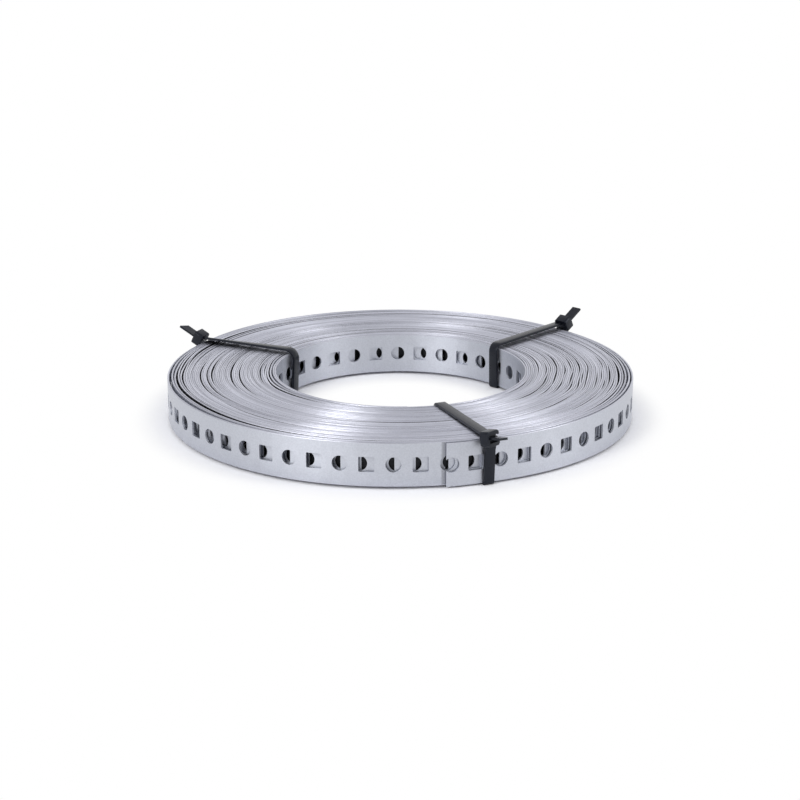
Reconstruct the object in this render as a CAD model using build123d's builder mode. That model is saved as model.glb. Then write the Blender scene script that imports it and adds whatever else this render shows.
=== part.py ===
from build123d import *
from math import atan2, cos, degrees, hypot, pi, radians, sin
import os

# Coil of perforated steel fixing band, wound flat and held by three cable ties.
# Millimetres, +Z up. The origin is on the coil's axis, on the floor that the ties' undersides rest on.

os.makedirs("parts", exist_ok=True)

# Steel band
band_width = 19.0
band_thickness = 0.8
hole_size = 6.6
hole_pitch = 11.2

# Winding: seen from above, the turns run inwards counter-clockwise from the band's outer end
bore_radius = 57.5
turn_count = 51
winding_gap = 0.165
outer_end_angle = -79.8
outer_end_margin = 1.6
inner_end_angle = -87.0
inner_end_margin = hole_pitch / 2
arc_count = 12

# Open gaps between groups of turns, on both ends of the coil
gap_mouth = 0.45
gap_depth = 1.5
gap_place_shares = (0.07, 0.18, 0.36, 0.56, 0.76, 0.93)

# Cable ties
strap_width = 4.8
strap_thickness = 1.2
side_clearance = 1.0
top_clearance = 0.9
lower_bend_radius = 0.4
upper_bend_radius = 2.2
root_bend_radius = 3.0
root_drop = 4.0
head_width = 7.8
head_height = 7.6
head_depth = 5.2
head_corner = 1.1
head_edge = 0.4
head_clearance = 0.3
window_width = 5.4
window_height = 4.8
window_depth = 2.2
notch_height = 2.8

# Each tie, in order round the coil: its angle outside the coil and in the bore, its head's turn and tilt
# and the side of its notch
tie_angles = {
    "cable_tie_front": (-70.0, -72.5, 20.5, 16.0, Align.MIN),
    "cable_tie_right": (42.0, 37.4, 0.0, 28.0, Align.MIN),
    "cable_tie_left": (153.75, 153.0, 0.0, 21.5, Align.MAX),
}

# Each tie's head's rise over the band, its tail's length, and the outermost turn's slack from it to the next
tie_lengths = {
    "cable_tie_front": (0.9, 7.8, 1.5),
    "cable_tie_right": (2.1, 12.1, 1.7),
    "cable_tie_left": (1.9, 11.8, 2.3),
}

# Overrun of each cut past the face that it opens
cut_overrun = 1.0

full_turn = 360.0
quarter_turn = full_turn / 4
turn_pitch = band_thickness + winding_gap
outer_radius = bore_radius + turn_count * turn_pitch
coil_bottom = strap_thickness
coil_middle = coil_bottom + band_width / 2
coil_top = coil_bottom + band_width

# Spans between neighbouring ties: first angle, last angle and the outermost turn's slack
first_angles = [angles[0] for angles in tie_angles.values()]
last_angles = first_angles[1:] + [first_angles[0] + full_turn]
span_slacks = [lengths[2] for lengths in tie_lengths.values()]
tie_spans = list(zip(first_angles, last_angles, span_slacks))


def polar(radius, angle, height=0):
    """Point at a radius, an angle in degrees and a height."""
    return (radius * cos(radians(angle)), radius * sin(radians(angle)), height)


def turn_slack(angle):
    """How far the outermost turn stands off its spiral: nothing at a tie, most halfway to the next."""
    slack = 0
    for first_angle, last_angle, span_slack in tie_spans:
        share = min(1, (angle - first_angle) % full_turn / (last_angle - first_angle))
        slack += span_slack * 4 * share * (1 - share)
    return slack


def outer_face_radius(angle):
    """Outside of the outermost turn, which comes one pitch inwards on its way round from its free end."""
    return outer_radius - turn_pitch * (angle - outer_end_angle) / full_turn + turn_slack(angle)


def inner_face_radius(angle):
    """Inside of the innermost turn, which goes one pitch outwards on its way back from its end."""
    return bore_radius + turn_pitch * (inner_end_angle - angle) / full_turn


def spiral_turn(face_radius, first_angle):
    """One turn of a spiral in arcs, closed by the step at the band's end."""
    arc_angle = full_turn / arc_count
    for arc in range(arc_count):
        angles = [first_angle + arc_angle * (arc + share) for share in (0, 0.5, 1)]
        ThreePointArc(*[polar(face_radius(angle), angle) for angle in angles])
    last_angle = first_angle + full_turn
    Line(polar(face_radius(last_angle), last_angle), polar(face_radius(first_angle), first_angle))


def hole_plane(face_radius, angle, facing):
    """Plane across a hole's axis, an overrun clear of the face, facing outwards (1) or inwards (-1)."""
    origin = polar(face_radius + facing * cut_overrun, angle, coil_middle)
    return Plane(origin=origin, x_dir=(0, 0, 1), z_dir=polar(facing, angle))


# Holes of the outermost and innermost turns, counted from the band's ends: round, square, round and so on
mean_slack = sum(slack * 2 / 3 * (last - first) / full_turn for first, last, slack in tie_spans)
outer_turn_radius = outer_radius - (turn_pitch + band_thickness) / 2 + mean_slack
inner_turn_radius = bore_radius + (turn_pitch + band_thickness) / 2
outer_hole_count = 1 + int((2 * pi * outer_turn_radius - outer_end_margin - hole_size) / hole_pitch)
inner_hole_count = 1 + int((2 * pi * inner_turn_radius - inner_end_margin - hole_size) / hole_pitch)
outer_holes = []
for hole in range(outer_hole_count):
    angle = outer_end_angle + degrees((outer_end_margin + hole * hole_pitch) / outer_turn_radius)
    outer_holes.append(hole_plane(outer_face_radius(angle), angle, 1))
inner_holes = []
for hole in range(inner_hole_count):
    angle = inner_end_angle - degrees((inner_end_margin + hole * hole_pitch) / inner_turn_radius)
    inner_holes.append(hole_plane(inner_face_radius(angle), angle, -1))

# Wound band: a ring with a step at each end of the band, open gaps between its turns, and its holes
with BuildPart() as band_coil:
    with BuildSketch(Plane.XY.offset(coil_bottom)):
        with BuildLine():
            spiral_turn(outer_face_radius, outer_end_angle)
        make_face()
        with BuildLine():
            spiral_turn(inner_face_radius, inner_end_angle - full_turn)
        make_face(mode=Mode.SUBTRACT)
    extrude(amount=band_width)
    with BuildSketch(Plane.XZ):
        for share in gap_place_shares:
            gap_radius = bore_radius + turn_pitch * round(share * turn_count)
            for end_height, depth in ((coil_bottom, gap_depth), (coil_top, -gap_depth)):
                with BuildLine():
                    Polyline(
                        (gap_radius - gap_mouth / 2, end_height),
                        (gap_radius + gap_mouth / 2, end_height),
                        (gap_radius, end_height + depth),
                        close=True,
                    )
                make_face()
    revolve(axis=Axis.Z, mode=Mode.SUBTRACT)
    with BuildSketch(*outer_holes[0::2], *inner_holes[0::2]):
        Circle(hole_size / 2)
    extrude(amount=-cut_overrun - band_thickness, mode=Mode.SUBTRACT)
    with BuildSketch(*outer_holes[1::2], *inner_holes[1::2]):
        Rectangle(hole_size, hole_size)
    extrude(amount=-cut_overrun - band_thickness, mode=Mode.SUBTRACT)
band_coil.part.label = "band_coil"
export_step(band_coil.part, "parts/band_coil.step")

# Cable ties: a head outside the coil's upper edge, the strap down and round the section and back
# through the head's window, and the cut tail
for tie_name, (outside_angle, bore_angle, head_turn, head_tilt, notch_side) in tie_angles.items():
    head_rise, tail_length, _ = tie_lengths[tie_name]
    outer_x, outer_y, _ = polar(outer_face_radius(outside_angle), outside_angle)
    inner_x, inner_y, _ = polar(inner_face_radius(bore_angle - full_turn), bore_angle)
    strap_angle = degrees(atan2(outer_y - inner_y, outer_x - inner_x))
    strap_span = hypot(outer_x - inner_x, outer_y - inner_y)
    section_plane = Plane(
        origin=(inner_x, inner_y, 0),
        x_dir=polar(1, strap_angle),
        z_dir=polar(1, strap_angle - quarter_turn),
    )
    face_turn = radians(head_turn + strap_angle - outside_angle)
    turned_depth = head_depth * cos(face_turn) + head_width * abs(sin(face_turn))
    head_out = strap_span + head_clearance + turned_depth / 2
    head_middle = coil_top + head_rise
    out_share = cos(radians(head_tilt))
    up_share = sin(radians(head_tilt))
    head_plane = Plane(
        origin=section_plane.from_local_coords((head_out, head_middle, 0)),
        x_dir=polar(1, strap_angle + head_turn + quarter_turn),
        z_dir=polar(out_share, strap_angle + head_turn, up_share),
    )
    root_in = (head_depth - strap_thickness) / 2
    root_down = head_height / 2 - strap_thickness
    root_out = head_out - root_in * out_share + root_down * up_share
    root_height = head_middle - root_in * up_share - root_down * out_share
    outside = strap_span + side_clearance + strap_thickness / 2
    inside = -side_clearance - strap_thickness / 2
    underside = strap_thickness / 2
    topside = coil_top + top_clearance + strap_thickness / 2
    lower_bend = lower_bend_radius + strap_thickness / 2
    upper_bend = upper_bend_radius + strap_thickness / 2
    with BuildPart() as cable_tie:
        with BuildSketch(head_plane.offset(-head_depth / 2)) as head_outline:
            Rectangle(head_width, head_height)
            chamfer(head_outline.vertices(), head_corner)
        extrude(amount=head_depth)
        head_ends = cable_tie.faces().sort_by(Axis(head_plane.origin, head_plane.z_dir))
        chamfer(head_ends[0].edges() + head_ends[-1].edges(), head_edge)
        with BuildSketch(head_plane.offset(head_depth / 2)):
            Rectangle(window_width, window_height)
            Rectangle(head_width, notch_height, align=(notch_side, Align.CENTER))
        extrude(amount=-window_depth, mode=Mode.SUBTRACT)
        with BuildSketch(head_plane):
            Rectangle(strap_width, strap_thickness)
        extrude(amount=tail_length)
        with BuildSketch(section_plane):
            with BuildLine():
                FilletPolyline(
                    (root_out, root_height),
                    (outside, root_height - root_drop),
                    (outside, underside),
                    (inside, underside),
                    (inside, topside),
                    (head_out, head_middle),
                    radius=(root_bend_radius, lower_bend, lower_bend, upper_bend),
                )
            trace(line_width=strap_thickness)
        extrude(amount=strap_width / 2, both=True)
    cable_tie.part.label = tie_name
    export_step(cable_tie.part, f"parts/{tie_name}.step")
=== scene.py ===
import math
from contextlib import contextmanager

import bmesh
import bpy
import numpy as np
from mathutils import Matrix, Vector


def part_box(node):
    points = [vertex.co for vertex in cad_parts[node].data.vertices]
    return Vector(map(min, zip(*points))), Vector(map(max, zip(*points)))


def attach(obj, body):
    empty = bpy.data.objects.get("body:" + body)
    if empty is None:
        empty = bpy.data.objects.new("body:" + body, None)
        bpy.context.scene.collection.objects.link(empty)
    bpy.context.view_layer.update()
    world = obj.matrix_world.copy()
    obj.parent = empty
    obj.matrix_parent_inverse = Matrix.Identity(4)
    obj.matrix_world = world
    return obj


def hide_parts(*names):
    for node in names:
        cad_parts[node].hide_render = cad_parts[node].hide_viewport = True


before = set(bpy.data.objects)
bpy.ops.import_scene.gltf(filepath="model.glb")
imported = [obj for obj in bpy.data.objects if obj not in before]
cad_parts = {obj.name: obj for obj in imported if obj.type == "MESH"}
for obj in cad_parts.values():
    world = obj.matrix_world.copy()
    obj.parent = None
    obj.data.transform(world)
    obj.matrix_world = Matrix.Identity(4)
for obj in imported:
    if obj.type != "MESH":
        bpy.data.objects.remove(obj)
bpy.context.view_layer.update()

# Coil of perforated steel band held by three cable ties.
# The object's sizes are in millimetres and degrees; its meshes, the materials and the studio are in metres.

MM = 0.001
coil_low, coil_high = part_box("band_coil")

# Band
BAND_BOTTOM = coil_low[2] / MM
BAND_TOP = coil_high[2] / MM
BAND_MIDDLE = (BAND_BOTTOM + BAND_TOP) / 2
BAND_THICKNESS = 0.8
BEVEL_WIDTH = 0.13
OUTER_BEVEL_DROP = 0.23
INNER_BEVEL_DROP = 0.12
HOLE_SIZE = 6.6
HOLE_CORNER = 0.45
HOLE_PITCH = 11.2
ROUND_HOLE_STEPS = 12
SQUARE_HOLE_STEP = 0.7 * HOLE_SIZE / 2

# Points round the band's section are counted from its outer lower bevel upwards. A strip runs along the band from
# one point to the next; where there is no hole, the points at a hole's edges keep a height of their own.
SECTION_POINTS = 12
HOLE_STRIPS = (1, 7)
HOLE_POINTS = (1, 2, 7, 8)
BELOW_HOLE = (0, 1, 8, 9, 10, 11)
ABOVE_HOLE = (2, 3, 4, 5, 6, 7)
EDGE_STRIPS = (3, 4, 5, 9, 10, 11)
METAL_HALF = 0.3 * HOLE_SIZE

# Winding: degrees along the band are counted from its outer end, counter-clockwise and inwards
TURN = 360
QUARTER_TURN = TURN / 4
BORE_RADIUS = 57.5
TURN_COUNT = 51
TURN_PITCH = 0.965
OUTER_RADIUS = BORE_RADIUS + TURN_COUNT * TURN_PITCH
OUTER_END_ANGLE = -79.8
OUTER_END_MARGIN = 1.6
END_HOLE_SHIFT = 0.7
INNER_END_ANGLE = -87.0
INNER_END_MARGIN = HOLE_PITCH / 2
GAP_COUNT = TURN_COUNT - 1
BAND_END = math.ceil(TURN_COUNT * TURN + INNER_END_ANGLE - OUTER_END_ANGLE)
OUTER_HOLE_COUNT = 300
INNER_HOLE_COUNT = 164
# Turns at each end of the band that keep the face steel; the turns between get a near-black painted shade
SHALLOW_TURNS = 3
PLAIN_STEP = 2.5

# How the turns lie: gaps between them, and their rise and lean as sizes with the degrees over which they change
WIND_SEED = 23
FACE_MARGIN = 0.004
TIGHT_GAP = 0.02
GAP_SPREAD, GAP_SPACING = 1.1, 70
OPEN_SHARE = 0.95
STEP_EASE = 40
RISES = ((0.06, 140), (0.05, TURN))
RISE_LIMITS = (-0.45, 0.2)
LEANS = ((0.02, 60), (0.03, TURN))
END_SAG, END_SAG_EASE = 0.45, 14
END_SPRING, END_SPRING_EASE = 0.35, 10

# The outermost turn's slack that each turn keeps, from the outer end to the front tie and then turn by turn
SLACK_SHARES = np.array((1.0, 1.0, 0.57, 0.5, 0.14, 0.06, 0.03, 0.0))

# Openings between turns that the photo shows: gap counted from outside, first and last angle, width
SHOWN_GAPS = (
    (0, 170, 242, 0.9), (1, 158, 200, 0.7), (2, 172, 252, 0.9), (3, 160, 192, 0.5), (4, 168, 206, 0.9),
    (3, 202, 226, 0.3), (13, 164, 216, 0.9), (16, 168, 226, 0.8), (18, 166, 204, 0.9), (28, 164, 216, 1.0),
    (32, 168, 222, 0.9), (43, 168, 206, 0.7), (45, 168, 192, 0.4), (46, 176, 258, 1.5), (47, 164, 240, 1.2),
    (48, 168, 226, 1.0),
    (1, -36, 22, 0.6), (3, -44, -12, 0.5), (4, -24, 14, 0.8), (3, 2, 30, 0.4), (6, -28, -5, 0.45),
    (8, -19, 6, 0.6), (10, -46, -20, 0.45), (10, -21, -8, 0.4), (11, -2, 16, 0.4), (12, -15, 1, 0.3),
    (14, -22, -1, 0.45), (19, -30, 14, 0.45), (21, -50, -24, 0.45), (21, -18, 0, 0.4), (22, -27, -6, 0.5),
    (23, -8, 14, 0.5), (25, -30, -12, 0.4), (26, -20, -1, 0.55), (27, -4, 16, 0.4), (30, -30, -12, 0.4),
    (30, -10, 5, 0.45), (34, -38, -19, 0.4), (34, -22, 2, 0.55), (34, -4, 23, 0.5), (38, -50, -19, 0.6),
    (38, -27, -5, 0.5), (39, -14, 11, 0.4), (43, -48, -26, 0.45), (43, -16, 36, 0.4), (47, -52, -12, 0.9),
    (49, -4, 42, 0.8),
)

# Cable ties, in order round the coil:
# - outside, bore: the strap's angles outside the coil and in its bore
# - rise, out, aside: the head's height over the band, and how far it is moved outwards and aside
# - turn, tilt: the way the head faces
# - tail, slant, twist: the tail's length, the slant of its tip and its twist
# - notch: the side of the head's notch
# - roll: the strap's roll at the head
# - top_gap, side_gap, bend: the strap's gaps over the band and in the bore, and the bend between them
# - slack: how far the outermost turn stands off halfway to the next tie
TIES = {
    "cable_tie_front": {
        "outside": -70.0, "bore": -72.5, "rise": 1.3, "out": -0.3, "aside": -1.3, "turn": 24.0, "tilt": 10.0,
        "tail": 7.7, "slant": 0.0, "twist": -9.0, "notch": 1, "roll": 0.0,
        "top_gap": 0.08, "side_gap": 1.0, "bend": 1.4, "slack": 1.5,
    },
    "cable_tie_right": {
        "outside": 42.0, "bore": 37.4, "rise": 2.0, "out": 0.9, "aside": -1.5, "turn": 0.0, "tilt": 28.0,
        "tail": 11.8, "slant": 0.0, "twist": 0.0, "notch": 1, "roll": 4.0,
        "top_gap": 1.0, "side_gap": 0.8, "bend": 2.9, "slack": 1.7,
    },
    "cable_tie_left": {
        "outside": 153.75, "bore": 153.0, "rise": 1.3, "out": 0.5, "aside": 0.3, "turn": 0.0, "tilt": 27.0,
        "tail": 11.3, "slant": 2.0, "twist": 0.0, "notch": -1, "roll": -20.0,
        "top_gap": 1.0, "side_gap": 1.3, "bend": 4.0, "slack": 2.3,
    },
}
STRAP_WIDTH = 4.8
STRAP_THICKNESS = 1.2
SIDE_CLEARANCE = 1.0
LOWER_CLEARANCE = 0.3
STRAP_ROUND = 0.28
STRAP_STEP = 4.0
BEND_POINTS = 9
MITRE_LIMIT = 2.0
LOWER_BEND = 0.15
ROOT_BEND = 3.0
ROOT_DROP = 4.0
HEAD_WIDTH = 7.3
HEAD_HEIGHT = 6.7
HEAD_DEPTH = 4.7
HEAD_CORNER = 0.9
HEAD_EDGE = 0.4
HEAD_CLEARANCE = 0.3
WINDOW_WIDTH = 5.2
WINDOW_HEIGHT = 3.4
WINDOW_DEPTH = 2.0
NOTCH_HEIGHT = 2.6
TOOTH_PITCH = 1.1
TOOTH_FLANK = 0.15
TOOTH_HEIGHT = 0.22
TOOTH_WIDTH = 3.2
TOOTH_SINK = 0.03

# Meshes, with distances in metres
MERGE_DISTANCE = 2e-6
TIE_MERGE_DISTANCE = 5e-6
BAND_SHARP_ANGLE = 28
TIE_SHARP_ANGLE = 32

# Steel finish
GRAIN_SHARE = 0.65
RING_SHARE = 0.7
RING_CHANGE = 1.1
ROUND_CHANGE = 1.2
# Painted shadow beside the band's outer end: its width in degrees, the least reach from the axis in mm, and its
# shades
END_SHADOW_ANGLE = 1.1
END_SHADOW_REACH = 100.0
END_SHADOW_SHADES = ((0.0, 1.0), (0.3, 0.68), (0.85, 0.6), (1.0, 1.0))

# Studio
WHITE = (1.0, 1.0, 1.0, 1.0)
FLOOR_HALF = 3.0
SHADE_FIRST, SHADE_LAST = 0.024, 0.044
BACKDROP_FIRST, BACKDROP_LAST = 0.18, 0.3
STUDIO_GREY = (0.63, 0.635, 0.66)
STUDIO_SHADES = ((0.0, STUDIO_GREY), (0.6, STUDIO_GREY), (0.85, (0.88, 0.885, 0.91)), (1.0, (0.98, 0.98, 1.0)))
LAMP_TARGET = Vector((0.0, 0.0, 0.011))
LAMPS = {
    "softbox_left": {"azimuth": -133, "elevation": 36, "distance": 1.3, "size": (0.4, 0.9), "power": 7.0},
    "softbox_right": {"azimuth": -14, "elevation": 36, "distance": 1.3, "size": (0.3, 0.9), "power": 4.2},
}

# Camera fitted to the photo
CAMERA_DISTANCE = 0.83752
CAMERA_ELEVATION = 17.312
CAMERA_SENSOR = 36.0
CAMERA_LENS = 80.544
CAMERA_SHIFT = -0.01523


def polar(radius, angle, height=0.0):
    """Point at a radius, an angle in degrees and a height."""
    return Vector((radius * math.cos(math.radians(angle)), radius * math.sin(math.radians(angle)), height))


# Materials


def node_material(name):
    """A material with an empty tree and its output."""
    material = bpy.data.materials.new(name)
    material.use_nodes = True
    tree = material.node_tree
    tree.nodes.clear()
    return material, tree, tree.nodes.new("ShaderNodeOutputMaterial")


def add(tree, kind, *sources, **values):
    """A node: its settings, inputs by name with underscores for spaces, and links or values of its first inputs."""
    node = tree.nodes.new(kind)
    for key, value in values.items():
        if hasattr(node, key):
            setattr(node, key, value)
        else:
            node.inputs[key.replace("_", " ")].default_value = value
    for socket, source in zip(node.inputs, sources):
        if isinstance(source, bpy.types.NodeSocket):
            tree.links.new(source, socket)
        else:
            socket.default_value = source
    return node


def ramp(tree, source, stops):
    """Colour ramp fed by a value: places and grey or RGB colours."""
    node = tree.nodes.new("ShaderNodeValToRGB")
    elements = node.color_ramp.elements
    while len(elements) < len(stops):
        elements.new(0.5)
    for element, (place, colour) in zip(elements, stops):
        element.position = place
        element.color = (*colour, 1.0) if isinstance(colour, tuple) else (colour, colour, colour, 1.0)
    tree.links.new(source, node.inputs["Fac"])
    return node.outputs["Color"]


def mixed(tree, share, first, second):
    """Two values mixed, with a fixed share of the second."""
    node = add(tree, "ShaderNodeMix", data_type="FLOAT", Factor=share)
    tree.links.new(first, node.inputs["A"])
    tree.links.new(second, node.inputs["B"])
    return node.outputs["Result"]


def turn_tone(tree, place, tone):
    """A tone mixed with one that changes from turn to turn, and slowly along each turn."""
    flat = add(tree, "ShaderNodeVectorMath", place, (1.0, 1.0, 0.0), operation="MULTIPLY").outputs["Vector"]
    reach = add(tree, "ShaderNodeVectorMath", flat, operation="LENGTH").outputs["Value"]
    heading = add(tree, "ShaderNodeVectorMath", flat, operation="NORMALIZE").outputs["Vector"]
    along = add(tree, "ShaderNodeVectorMath", heading, operation="SCALE", Scale=ROUND_CHANGE).outputs["Vector"]
    turn = add(tree, "ShaderNodeMath", reach, RING_CHANGE / (TURN_PITCH * MM), operation="MULTIPLY").outputs["Value"]
    lift = add(tree, "ShaderNodeCombineXYZ", 0.0, 0.0, turn).outputs["Vector"]
    spot = add(tree, "ShaderNodeVectorMath", along, lift, operation="ADD").outputs["Vector"]
    rings = add(tree, "ShaderNodeTexNoise", spot, Scale=1.0, Detail=1.0).outputs["Fac"]
    return mixed(tree, RING_SHARE, tone, rings)


def painted_end_shadow(tree, place, colour):
    """A colour with a painted shadow: darker on the outside of the coil, in a strip beside the band's outer end where
    the end stands off the turn below.
    """
    axes = add(tree, "ShaderNodeSeparateXYZ", place)
    bearing = add(tree, "ShaderNodeMath", axes.outputs["Y"], axes.outputs["X"], operation="ARCTAN2").outputs["Value"]
    first, last = math.radians(OUTER_END_ANGLE - END_SHADOW_ANGLE), math.radians(OUTER_END_ANGLE)
    beside_end = add(tree, "ShaderNodeMapRange", bearing, From_Min=first, From_Max=last).outputs["Result"]
    reach = add(tree, "ShaderNodeVectorMath", place, operation="LENGTH").outputs["Value"]
    outside = add(tree, "ShaderNodeMath", reach, END_SHADOW_REACH * MM, operation="GREATER_THAN").outputs["Value"]
    shadowed = add(tree, "ShaderNodeMath", beside_end, outside, operation="MULTIPLY").outputs["Value"]
    blend = add(tree, "ShaderNodeMix", 1.0, data_type="RGBA", blend_type="MULTIPLY")
    tree.links.new(colour, blend.inputs[6])
    tree.links.new(ramp(tree, shadowed, END_SHADOW_SHADES), blend.inputs[7])
    return blend.outputs[2]


def finish_surface(tree, shader, relief, output):
    """A fine relief on a shader, and the shader on the material's output."""
    bump = add(tree, "ShaderNodeBump", Strength=0.1, Distance=0.00005)
    tree.links.new(relief, bump.inputs["Height"])
    tree.links.new(bump.outputs["Normal"], shader.inputs["Normal"])
    tree.links.new(shader.outputs["BSDF"], output.inputs["Surface"])


def steel(name, dark, light, roughness, anisotropy, is_edge=False):
    """Bright zinc-coated steel with a fine grain, its gloss stretched across the band's length.

    On faces a painted shadow lies beside the band's outer end.
    """
    material, tree, output = node_material(name)
    place = add(tree, "ShaderNodeTexCoord").outputs["Object"]
    clouds = add(tree, "ShaderNodeTexNoise", place, Scale=160.0, Detail=3.0, Roughness=0.6).outputs["Fac"]
    grain = add(tree, "ShaderNodeTexNoise", place, Scale=1500.0, Detail=2.0, Roughness=0.6).outputs["Fac"]
    tone = mixed(tree, GRAIN_SHARE, clouds, grain)
    if is_edge:
        tone = turn_tone(tree, place, tone)
    colour = ramp(tree, tone, ((0.3, dark), (0.7, light)))
    # Faces take the painted shadow beside the band's outer end
    if not is_edge:
        colour = painted_end_shadow(tree, place, colour)
    shader = add(tree, "ShaderNodeBsdfPrincipled", Metallic=1.0, Anisotropic=anisotropy, Anisotropic_Rotation=0.25)
    tangent = add(tree, "ShaderNodeTangent", direction_type="RADIAL", axis="Z")
    tree.links.new(tangent.outputs["Tangent"], shader.inputs["Tangent"])
    tree.links.new(colour, shader.inputs["Base Color"])
    tree.links.new(ramp(tree, clouds, ((0.3, roughness[0]), (0.7, roughness[1]))), shader.inputs["Roughness"])
    finish_surface(tree, shader, grain, output)
    return material


def nylon():
    """Black moulded nylon with slight sheen and faint dust."""
    material, tree, output = node_material("black_nylon")
    place = add(tree, "ShaderNodeTexCoord").outputs["Object"]
    dust = add(tree, "ShaderNodeTexNoise", place, Scale=700.0, Detail=4.0, Roughness=0.65).outputs["Fac"]
    mould = add(tree, "ShaderNodeTexNoise", place, Scale=4000.0, Detail=2.0).outputs["Fac"]
    shader = add(tree, "ShaderNodeBsdfPrincipled", Specular_IOR_Level=0.3, Specular_Tint=(0.82, 0.88, 1.0, 1.0))
    colours = ((0.3, (0.004, 0.0046, 0.008)), (0.75, (0.008, 0.009, 0.0135)))
    tree.links.new(ramp(tree, dust, colours), shader.inputs["Base Color"])
    tree.links.new(ramp(tree, dust, ((0.3, 0.26), (0.7, 0.36))), shader.inputs["Roughness"])
    finish_surface(tree, shader, mould, output)
    return material


face_steel = steel("zinc_face", (0.52, 0.538, 0.595), (0.635, 0.655, 0.715), (0.46, 0.54), 0.66)
edge_steel = steel("zinc_edge", (0.43, 0.435, 0.49), (0.79, 0.80, 0.88), (0.42, 0.52), 0.7, is_edge=True)
# Painted shade: a near-black copy of the face steel for the hidden middle turns, so holes and gaps between turns look
# dark as in shade
painted_shade_steel = steel("zinc_painted_shade", (0.02, 0.0206, 0.023), (0.045, 0.046, 0.051), (0.5, 0.6), 0.66)
BAND_FINISHES = (face_steel, edge_steel, painted_shade_steel)
FACE, EDGE, PAINTED_SHADE = range(3)
tie_nylon = nylon()


# Winding


def smooth_noise(random, count, spacing):
    """Smooth random values about zero, one for each degree along the band."""
    knots = random.normal(size=count // spacing + 3)
    place = np.arange(count) / spacing
    cell = place.astype(int)
    ease = (place - cell) ** 2 * (3 - 2 * (place - cell))
    return knots[cell] * (1 - ease) + knots[cell + 1] * ease


def turn_slack(angle):
    """How far the outermost turn stands off its spiral: nothing at a tie, most halfway to the next."""
    marks = [tie["outside"] for tie in TIES.values()]
    slack = np.zeros(len(angle))
    for first, last, tie in zip(marks, marks[1:] + [marks[0] + TURN], TIES.values()):
        share = np.minimum(1, (angle - first) % TURN / (last - first))
        slack += tie["slack"] * 4 * share * (1 - share)
    return slack


def shown_arcs(degree):
    """Width at each degree of the openings that the photo shows: each opens from nothing and shuts again."""
    arcs = np.zeros(len(degree))
    for number, first, last, width in SHOWN_GAPS:
        start = (first - OUTER_END_ANGLE) % TURN + number * TURN
        arcs += width * np.sin(np.pi * np.clip((degree - start) / (last - first), 0, 1)) ** 2
    return arcs


def turn_gaps(random, degree, room):
    """Gap inside the band at each degree: the shown openings, and the rest of the room shared out unevenly."""
    count = len(degree)
    turns = degree[: GAP_COUNT * TURN].reshape(GAP_COUNT, TURN)
    arcs = shown_arcs(degree)
    uneven = np.exp(GAP_SPREAD * smooth_noise(random, count, GAP_SPACING))
    wanted = np.maximum(arcs[turns].sum(axis=0), TIGHT_GAP)
    arcs *= np.resize(np.minimum(1, OPEN_SHARE * room / wanted), count)
    left_over = (room - arcs[turns].sum(axis=0)) / uneven[turns].sum(axis=0)
    gap = TIGHT_GAP + arcs + uneven * np.resize(left_over, count)
    step = (TURN_PITCH - BAND_THICKNESS - gap[0]) * np.exp(-degree[:TURN] / STEP_EASE)
    gap[:TURN] += step
    gap[TURN:] -= np.resize(step, count - TURN) / (GAP_COUNT - 1)
    return gap


def wind():
    """The band's middle radius, rise and lean at each degree along it: each turn lies inside the last by a gap."""
    random = np.random.default_rng(WIND_SEED)
    count = TURN_COUNT * TURN
    degree = np.arange(count)
    share = degree[:TURN] / TURN
    first_turn = OUTER_RADIUS - BAND_THICKNESS / 2 - TURN_PITCH * share - FACE_MARGIN
    end_share = (INNER_END_ANGLE - OUTER_END_ANGLE) / TURN
    last_turn = BORE_RADIUS + BAND_THICKNESS / 2 + TURN_PITCH * (1 + end_share - share)
    room = first_turn - last_turn - GAP_COUNT * (BAND_THICKNESS + TIGHT_GAP)
    gap = turn_gaps(random, degree, room)
    radius = np.empty(count)
    radius[:TURN] = first_turn
    for start in range(TURN, count, TURN):
        outside = slice(start - TURN, start)
        radius[start : start + TURN] = radius[outside] - BAND_THICKNESS - gap[outside]
    front_tie = TIES["cable_tie_front"]["outside"]
    passed = np.floor((OUTER_END_ANGLE + degree - front_tie) / TURN).astype(int) + 1
    radius += turn_slack(OUTER_END_ANGLE + degree) * SLACK_SHARES[np.minimum(passed, len(SLACK_SHARES) - 1)]
    radius += END_SPRING * np.exp(-degree / END_SPRING_EASE)
    rise = sum(size * smooth_noise(random, count, spacing) for size, spacing in RISES)
    rise -= END_SAG * np.exp(-degree / END_SAG_EASE)
    lean = sum(size * smooth_noise(random, count, spacing) for size, spacing in LEANS)
    return degree, radius, np.clip(rise, *RISE_LIMITS), lean


degree, radius, rise, lean = wind()
length = np.concatenate(([0.0], np.cumsum(np.radians((radius[1:] + radius[:-1]) / 2))))
band_length = length[BAND_END]


# Band meshes


@contextmanager
def edited(mesh):
    """A mesh opened for editing, and written back afterwards."""
    shape = bmesh.new()
    shape.from_mesh(mesh)
    yield shape
    shape.to_mesh(mesh)
    shape.free()


def mesh_piece(name, points, faces, finish, materials):
    """An object from points and faces, with double points merged and sharp edges kept."""
    mesh = bpy.data.meshes.new(name)
    mesh.from_pydata(points.tolist(), [], faces)
    for material in materials:
        mesh.materials.append(material)
    mesh.polygons.foreach_set("material_index", finish)
    with edited(mesh) as shape:
        bmesh.ops.remove_doubles(shape, verts=shape.verts, dist=MERGE_DISTANCE)
        bmesh.ops.recalc_face_normals(shape, faces=shape.faces)
    mesh.shade_smooth()
    mesh.set_sharp_from_angle(angle=math.radians(BAND_SHARP_ANGLE))
    piece = bpy.data.objects.new(name, mesh)
    bpy.context.scene.collection.objects.link(piece)
    return piece


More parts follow.
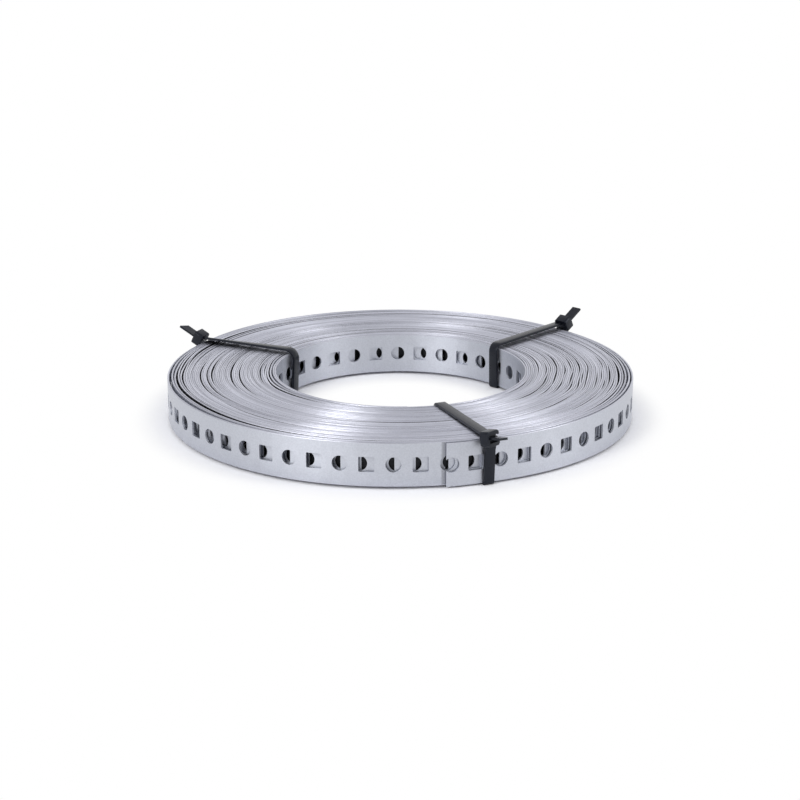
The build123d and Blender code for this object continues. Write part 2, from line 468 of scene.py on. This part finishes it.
def band_section(place, low, high):
    """Offsets and heights of the points round the band's section, at places along it with a hole's low and high."""
    half = BAND_THICKNESS / 2
    inset = half - BEVEL_WIDTH
    tip = np.interp(np.interp(place, length, degree), degree, lean)
    whole = np.ones(len(place))
    offsets = (half, half, half, half, inset, -inset, -half, -half, -half, -half, -inset, inset)
    offset = np.stack([value * whole for value in offsets], axis=1)
    bottom, top = BAND_BOTTOM * whole, BAND_TOP * whole
    outer_side = [bottom + OUTER_BEVEL_DROP, low, high, top - OUTER_BEVEL_DROP]
    inner_side = [top - INNER_BEVEL_DROP, high, low, bottom + INNER_BEVEL_DROP]
    height = np.stack(outer_side + [top + tip, top - tip] + inner_side + [bottom - tip, bottom + tip], axis=1)
    return offset, height


def band_points(place, section):
    """Points in metres of the band's section at places along it: an offset outwards and a height for each."""
    along = np.interp(place, length, degree)
    angle = np.radians(OUTER_END_ANGLE + along)[:, None]
    offset, height = section
    reach = np.interp(along, degree, radius)[:, None] + offset
    lift = height + np.interp(along, degree, rise)[:, None]
    return np.stack([reach * np.cos(angle), reach * np.sin(angle), lift], axis=2) * MM


def band_piece(name, columns):
    """Part of the band as a mesh, from columns: place, half height of the hole there, and open after it."""
    place, half, is_open = (np.array(values) for values in zip(*columns))
    is_open = is_open[:-1]
    section = band_section(place, BAND_MIDDLE - half, BAND_MIDDLE + half)
    points = band_points(place, section).reshape(-1, 3)
    every = np.arange(len(is_open)) * SECTION_POINTS
    solid, opened = every[~is_open], every[is_open]
    along = np.interp(place, length, degree)
    # Turns deeper than the shallow ones take the painted shade on their faces and hole walls
    is_deep = (along >= SHALLOW_TURNS * TURN) & (along < BAND_END - SHALLOW_TURNS * TURN)
    plain = np.where(is_deep, PAINTED_SHADE, FACE)
    strips = []
    for point in range(SECTION_POINTS):
        starts = solid if point in HOLE_STRIPS else every
        strips.append((starts, point, (point + 1) % SECTION_POINTS, point in EDGE_STRIPS))
    low_outer, high_outer, high_inner, low_inner = HOLE_POINTS
    strips += [(opened, low_inner, low_outer, False), (opened, high_outer, high_inner, False)]
    faces, finish = [], []
    for start, a, b, is_edge in strips:
        after = start + SECTION_POINTS
        faces += np.stack([start + a, after + a, after + b, start + b], axis=1).tolist()
        finish += [EDGE] * len(start) if is_edge else plain[start // SECTION_POINTS].tolist()

    # Walls across the band at a hole's ends, and the band's own ends
    for column in range(1, len(columns) - 1):
        if is_open[column] != is_open[column - 1] and half[column] > 0:
            faces.append([column * SECTION_POINTS + point for point in HOLE_POINTS])
            finish.append(int(plain[column]))
    for column, is_cut in ((0, is_open[0]), (len(columns) - 1, is_open[-1])):
        for ring in (BELOW_HOLE, ABOVE_HOLE) if is_cut else (range(SECTION_POINTS),):
            faces.append([column * SECTION_POINTS + point for point in ring])
            finish.append(EDGE)
    return mesh_piece(name, points, faces, finish, BAND_FINISHES)


def hole_columns(centre, is_round):
    """Columns through one hole, from its first edge to its last, and one in the metal after it."""
    half = HOLE_SIZE / 2
    if is_round:
        shares = [-math.cos(math.pi * step / ROUND_HOLE_STEPS) for step in range(ROUND_HOLE_STEPS + 1)]
        columns = [(centre + half * share, half * math.sqrt(max(0, 1 - share * share)), True) for share in shares]
    else:
        ease = HOLE_CORNER * (1 - math.sqrt(0.5))
        edge = [(0, half - HOLE_CORNER), (ease, half - ease), (HOLE_CORNER, half), (SQUARE_HOLE_STEP, half)]
        columns = [(centre - half + place, height, True) for place, height in edge]
        columns += [(centre + half - place, height, True) for place, height in reversed(edge)]
    columns[-1] = (*columns[-1][:2], False)
    return columns + [(centre + HOLE_PITCH / 2, METAL_HALF, False)]


# Outer turns: their holes are counted from the outer end, which is cut through the first hole
outer_columns = []
for hole in range(OUTER_HOLE_COUNT):
    outer_columns += hole_columns(OUTER_END_MARGIN + (hole * HOLE_PITCH or END_HOLE_SHIFT), hole % 2 == 0)
outer_columns = [column for column in outer_columns if column[0] > 0]
end_half = math.sqrt((HOLE_SIZE / 2) ** 2 - (OUTER_END_MARGIN + END_HOLE_SHIFT) ** 2)
outer_columns.insert(0, (0.0, end_half, True))

# Inner turns: their holes are counted back from the inner end
first_inner_hole = band_length - INNER_END_MARGIN - (INNER_HOLE_COUNT - 1) * HOLE_PITCH
inner_columns = [(first_inner_hole - HOLE_PITCH / 2, METAL_HALF, False)]
for hole in reversed(range(INNER_HOLE_COUNT)):
    inner_columns += hole_columns(band_length - INNER_END_MARGIN - hole * HOLE_PITCH, hole % 2 == 0)

# Turns between: their holes are hidden, so they are plain
middle_span = (outer_columns[-1][0], inner_columns[0][0])
first_degree, last_degree = np.interp(middle_span, length, degree)
middle_degrees = np.linspace(first_degree, last_degree, int((last_degree - first_degree) / PLAIN_STEP))
middle_columns = [(place, METAL_HALF, False) for place in np.interp(middle_degrees, degree, length)]

for piece in (
    band_piece("band_outer_turns", outer_columns),
    band_piece("band_middle_turns", middle_columns),
    band_piece("band_inner_turns", inner_columns),
):
    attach(piece, "root")
    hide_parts("band_coil")


# Cable ties


def block(points, faces):
    """A scratch object from points in millimetres and faces."""
    metres = np.array([tuple(point) for point in points]) * MM
    return mesh_piece("scratch", metres, faces, [0] * len(faces), (tie_nylon,))


def prism(outline, low, high, place):
    """A scratch prism: an outline extruded between two heights, then put in its place."""
    count = len(outline)
    points = [place @ Vector((x, y, z)) for z in (low, high) for x, y in outline]
    faces = [list(range(count)), list(range(count, 2 * count))]
    faces += [[i, (i + 1) % count, count + (i + 1) % count, count + i] for i in range(count)]
    return block(points, faces)


def box(low, high, place):
    """A scratch box between two corners, put in its place."""
    outline = [(low[0], low[1]), (high[0], low[1]), (high[0], high[1]), (low[0], high[1])]
    return prism(outline, low[2], high[2], place)


def join(target, tool, operation):
    """The target with the tool added to it or cut from it."""
    step = target.modifiers.new("step", "BOOLEAN")
    step.operation = operation
    step.solver = "EXACT"
    step.object = tool
    mesh = bpy.data.meshes.new_from_object(target.evaluated_get(bpy.context.evaluated_depsgraph_get()))
    target.modifiers.clear()
    target.data = mesh
    bpy.data.objects.remove(tool)


def rounded_path(corners):
    """Points of a path with its corners rounded: each corner is a distance out, a height and a bend radius."""
    path = [Vector(corners[0][:2])]
    for before, corner, after in zip(corners[:-2], corners[1:-1], corners[2:]):
        here = Vector(corner[:2])
        back = (Vector(before[:2]) - here).normalized()
        ahead = (Vector(after[:2]) - here).normalized()
        half = back.angle(ahead) / 2
        reach = corner[2] / math.tan(half)
        centre = here + (back + ahead).normalized() * corner[2] / math.sin(half)
        start, end = here + back * reach - centre, here + ahead * reach - centre
        for share in np.linspace(0, 1, BEND_POINTS):
            path.append(centre + (start.lerp(end, share)).normalized() * corner[2])
    path.append(Vector(corners[-1][:2]))
    fine = path[:1]
    for point in path[1:]:
        steps = math.ceil((point - fine[-1]).length / STRAP_STEP)
        fine += [fine[-1].lerp(point, step / steps) for step in range(1, steps + 1)]
    return fine


def strap(path, origin, angle, roll):
    """The tie's strap as a swept bar with rounded edges, in an upright plane, rolled degrees per mm over the band."""
    wide, thick, edge = STRAP_WIDTH / 2, STRAP_THICKNESS / 2, STRAP_ROUND
    ease = edge * (1 - math.sqrt(0.5))
    corner = [(wide, thick - edge), (wide - ease, thick - ease), (wide - edge, thick)]
    ring = corner + [(-x, y) for x, y in reversed(corner)]
    ring += [(-x, -y) for x, y in corner] + [(x, -y) for x, y in reversed(corner)]
    out, side = polar(1, angle), polar(1, angle + QUARTER_TURN)
    points = []
    for index, here in enumerate(path):
        before, after = path[max(index - 1, 0)], path[min(index + 1, len(path) - 1)]
        first, second = (here - before).normalized(), (after - here).normalized()
        along = (first + second).normalized()
        stretch = 1 / max(1 / MITRE_LIMIT, along.dot(second if second.length else first))
        across = Vector((along.y, -along.x)) * stretch
        tip = math.radians(roll) * max(0, here.x) * (here.y > BAND_TOP)
        for x, y in ring:
            x, y = x * math.cos(tip) - y * math.sin(tip), x * math.sin(tip) + y * math.cos(tip)
            spot = here + across * y
            points.append(origin + out * spot.x + side * x + Vector((0, 0, spot.y)))
    count = len(ring)
    faces = [list(range(count)), list(range(len(points) - count, len(points)))]
    for start in range(0, len(points) - count, count):
        after = start + count
        faces += [[start + i, start + (i + 1) % count, after + (i + 1) % count, after + i] for i in range(count)]
    return block(points, faces)


def tie_head(place, notch):
    """The head: a bevelled block with a window in its front and a notch in one side."""
    wide, tall, corner = HEAD_WIDTH / 2, HEAD_HEIGHT / 2, HEAD_CORNER
    outline = [(wide, tall - corner), (wide - corner, tall), (corner - wide, tall), (-wide, tall - corner)]
    outline += [(-x, -y) for x, y in outline]
    head = prism(outline, -HEAD_DEPTH / 2, HEAD_DEPTH / 2, place)
    with edited(head.data) as shape:
        bmesh.ops.bevel(shape, geom=shape.edges, offset=HEAD_EDGE * MM, segments=2, profile=0.6, affect="EDGES")
    front, back = HEAD_DEPTH / 2 + HEAD_EDGE, HEAD_DEPTH / 2 - WINDOW_DEPTH
    window_x, window_y = WINDOW_WIDTH / 2, WINDOW_HEIGHT / 2
    join(head, box((-window_x, -window_y, back), (window_x, window_y, front), place), "DIFFERENCE")
    near_x, far_x = sorted((0, notch * HEAD_WIDTH))
    notch_box = box((near_x, -NOTCH_HEIGHT / 2, back), (far_x, NOTCH_HEIGHT / 2, front), place)
    join(head, notch_box, "DIFFERENCE")
    return head


def add_tail(head, place, tie):
    """The cut tail out of the head, with a slanting tip and teeth across the middle of its underside."""
    tail, slant = tie["tail"], tie["slant"]
    thick, half = STRAP_THICKNESS / 2, STRAP_WIDTH / 2
    low = -thick + TOOTH_HEIGHT
    outline = [(-half, 0), (half, 0), (half, tail), (-half, tail - slant)]
    twisted = place @ Matrix.Rotation(math.radians(tie["twist"]), 4, "Z")
    flat = twisted @ Matrix(((1, 0, 0, 0), (0, 0, 1, 0), (0, 1, 0, 0), (0, 0, 0, 1)))
    join(head, prism(outline, low, thick, flat), "UNION")
    teeth = [(low + TOOTH_HEIGHT, HEAD_DEPTH / 2 - WINDOW_DEPTH / 2)]
    while teeth[-1][1] + TOOTH_PITCH < tail - slant:
        teeth.append((-thick, teeth[-1][1] + TOOTH_FLANK))
        teeth.append((low + TOOTH_SINK, teeth[-1][1] + TOOTH_PITCH - TOOTH_FLANK))
    teeth.append((low + TOOTH_HEIGHT, teeth[-1][1]))
    across = twisted @ Matrix(((0, 0, 1, 0), (1, 0, 0, 0), (0, 1, 0, 0), (0, 0, 0, 1)))
    join(head, prism(teeth, -TOOTH_WIDTH / 2, TOOTH_WIDTH / 2, across), "UNION")


def strap_corners(span, head_out, head_middle, tie):
    """Corners of the strap's way from the head's root down, round the section and back into the head."""
    tilt = math.radians(tie["tilt"])
    thick = STRAP_THICKNESS / 2
    root_in = (HEAD_DEPTH - STRAP_THICKNESS) / 2
    root_down = HEAD_HEIGHT / 2 - STRAP_THICKNESS
    root_out = head_out - root_in * math.cos(tilt) + root_down * math.sin(tilt)
    root_height = head_middle - root_in * math.sin(tilt) - root_down * math.cos(tilt)
    return (
        (root_out, root_height, 0),
        (span + SIDE_CLEARANCE + thick, root_height - ROOT_DROP, ROOT_BEND),
        (span + LOWER_CLEARANCE + thick, thick, LOWER_BEND + thick),
        (-LOWER_CLEARANCE - thick, thick, LOWER_BEND + thick),
        (-tie["side_gap"] - thick, BAND_TOP + tie["top_gap"] + thick, tie["bend"] + thick),
        (head_out, head_middle, 0),
    )


def cable_tie(name, tie):
    """One tie: a head outside the coil's upper edge, the cut tail, and the strap round the section."""
    along = (tie["outside"] - OUTER_END_ANGLE) % TURN
    bore_along = (tie["bore"] - OUTER_END_ANGLE) % TURN + GAP_COUNT * TURN
    outer = polar(np.interp(along, degree, radius) + BAND_THICKNESS / 2, tie["outside"])
    origin = polar(np.interp(bore_along, degree, radius) - BAND_THICKNESS / 2, tie["bore"])
    span = (outer - origin).length
    angle = math.degrees(math.atan2(outer.y - origin.y, outer.x - origin.x))
    facing = angle + tie["turn"]
    swing = math.radians(facing - tie["outside"])
    depth = HEAD_DEPTH * math.cos(swing) + HEAD_WIDTH * abs(math.sin(swing))
    head_out = span + HEAD_CLEARANCE + depth / 2 + tie["out"]
    head_middle = BAND_TOP + tie["rise"]
    tilt = math.radians(tie["tilt"])
    forward = polar(math.cos(tilt), facing, math.sin(tilt))
    side = polar(1, facing + QUARTER_TURN)
    place = Matrix((side, forward.cross(side), forward)).transposed().to_4x4()
    place.translation = origin + polar(head_out, angle, head_middle) + polar(tie["aside"], angle + QUARTER_TURN)
    piece = tie_head(place, tie["notch"])
    add_tail(piece, place, tie)
    path = rounded_path(strap_corners(span, head_out, head_middle, tie))
    join(piece, strap(path, origin, angle, tie["roll"] / span), "UNION")
    with edited(piece.data) as shape:
        bmesh.ops.remove_doubles(shape, verts=shape.verts, dist=TIE_MERGE_DISTANCE)
        bmesh.ops.dissolve_degenerate(shape, edges=shape.edges, dist=TIE_MERGE_DISTANCE)
    piece.name = name
    piece.data.name = name
    piece.data.shade_smooth()
    piece.data.set_sharp_from_angle(angle=math.radians(TIE_SHARP_ANGLE))
    return piece


for tie_name, values in TIES.items():
    tie_piece = cable_tie(tie_name + "_moulding", values)
    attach(tie_piece, "root")
    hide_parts(tie_name)


# Studio


def studio_floor():
    """A broad pale floor with the coil's shadow; away from the coil it is white to the camera and in reflections."""
    half = FLOOR_HALF
    mesh = bpy.data.meshes.new("studio_floor")
    mesh.from_pydata([(-half, -half, 0), (half, -half, 0), (half, half, 0), (-half, half, 0)], [], [(0, 1, 2, 3)])
    material, tree, output = node_material("studio_white")
    place = add(tree, "ShaderNodeTexCoord").outputs["Object"]
    speckle = add(tree, "ShaderNodeTexNoise", place, Scale=40.0, Detail=2.0).outputs["Fac"]
    colours = ((0.3, (0.92, 0.92, 0.935)), (0.7, (0.93, 0.93, 0.945)))
    pale = add(tree, "ShaderNodeBsdfDiffuse", ramp(tree, speckle, colours))
    white = add(tree, "ShaderNodeEmission", Color=WHITE, Strength=1.0)
    reach = add(tree, "ShaderNodeVectorMath", place, operation="LENGTH").outputs["Value"]
    ring_middle = (OUTER_RADIUS + BORE_RADIUS) / 2 * MM
    from_ring = add(tree, "ShaderNodeMath", reach, ring_middle, operation="SUBTRACT").outputs["Value"]
    distance = add(tree, "ShaderNodeMath", from_ring, operation="ABSOLUTE").outputs["Value"]
    away = add(
        tree, "ShaderNodeMapRange", distance,
        interpolation_type="SMOOTHSTEP", From_Min=SHADE_FIRST, From_Max=SHADE_LAST,
    )
    rays = add(tree, "ShaderNodeLightPath")
    seen = rays.outputs["Is Camera Ray"]
    for kind in ("Is Glossy Ray", "Is Transmission Ray"):
        seen = add(tree, "ShaderNodeMath", seen, rays.outputs[kind], operation="MAXIMUM").outputs["Value"]
    share = add(tree, "ShaderNodeMath", seen, away.outputs["Result"], operation="MULTIPLY").outputs["Value"]
    mix = add(tree, "ShaderNodeMixShader", share, pale.outputs["BSDF"], white.outputs["Emission"])
    tree.links.new(mix.outputs["Shader"], output.inputs["Surface"])
    mesh.materials.append(material)
    floor = bpy.data.objects.new("studio_floor", mesh)
    bpy.context.scene.collection.objects.link(floor)
    return floor


def studio_world():
    """A white backdrop round the horizon; over it a grey studio, paler behind the coil."""
    world = bpy.data.worlds.new("studio")
    world.use_nodes = True
    tree = world.node_tree
    tree.nodes.clear()
    sky = add(tree, "ShaderNodeTexCoord").outputs["Generated"]
    heading = add(tree, "ShaderNodeSeparateXYZ", sky)
    overhead = add(
        tree, "ShaderNodeMapRange", heading.outputs["Z"], From_Min=BACKDROP_FIRST, From_Max=BACKDROP_LAST
    )
    backdrop = add(tree, "ShaderNodeMix", overhead.outputs["Result"], data_type="RGBA")
    backdrop.inputs[6].default_value = WHITE
    tree.links.new(ramp(tree, heading.outputs["Y"], STUDIO_SHADES), backdrop.inputs[7])
    studio = add(tree, "ShaderNodeBackground", backdrop.outputs[2], Strength=1.0)
    tree.links.new(studio.outputs["Background"], add(tree, "ShaderNodeOutputWorld").inputs["Surface"])
    return world


def softbox(name, azimuth, elevation, distance, size, power):
    """A soft rectangular lamp aimed at the coil from a direction in degrees."""
    lamp = bpy.data.lights.new(name, "AREA")
    lamp.shape = "RECTANGLE"
    lamp.size, lamp.size_y = size
    lamp.energy = power
    piece = bpy.data.objects.new(name, lamp)
    flat = math.cos(math.radians(elevation)) * distance
    piece.location = LAMP_TARGET + polar(flat, azimuth, math.sin(math.radians(elevation)) * distance)
    piece.rotation_euler = (LAMP_TARGET - piece.location).to_track_quat("-Z", "Y").to_euler()
    bpy.context.scene.collection.objects.link(piece)
    return piece


def photo_camera():
    """The camera at the photo's viewing angle."""
    target = Vector((0.0, 0.0, BAND_MIDDLE * MM))
    elevation = math.radians(CAMERA_ELEVATION)
    away = Vector((0.0, -math.cos(elevation), math.sin(elevation)))
    lens = bpy.data.cameras.new("photo_camera")
    lens.sensor_width = CAMERA_SENSOR
    lens.lens = CAMERA_LENS
    lens.shift_y = CAMERA_SHIFT
    camera = bpy.data.objects.new("photo_camera", lens)
    camera.location = target + away * CAMERA_DISTANCE
    camera.rotation_euler = (-away).to_track_quat("-Z", "Y").to_euler()
    bpy.context.scene.collection.objects.link(camera)
    return camera


studio_floor()
for lamp_name, lamp_values in LAMPS.items():
    softbox(lamp_name, **lamp_values)
bpy.context.scene.world = studio_world()
bpy.context.scene.camera = photo_camera()
bpy.context.scene.view_settings.view_transform = "Standard"
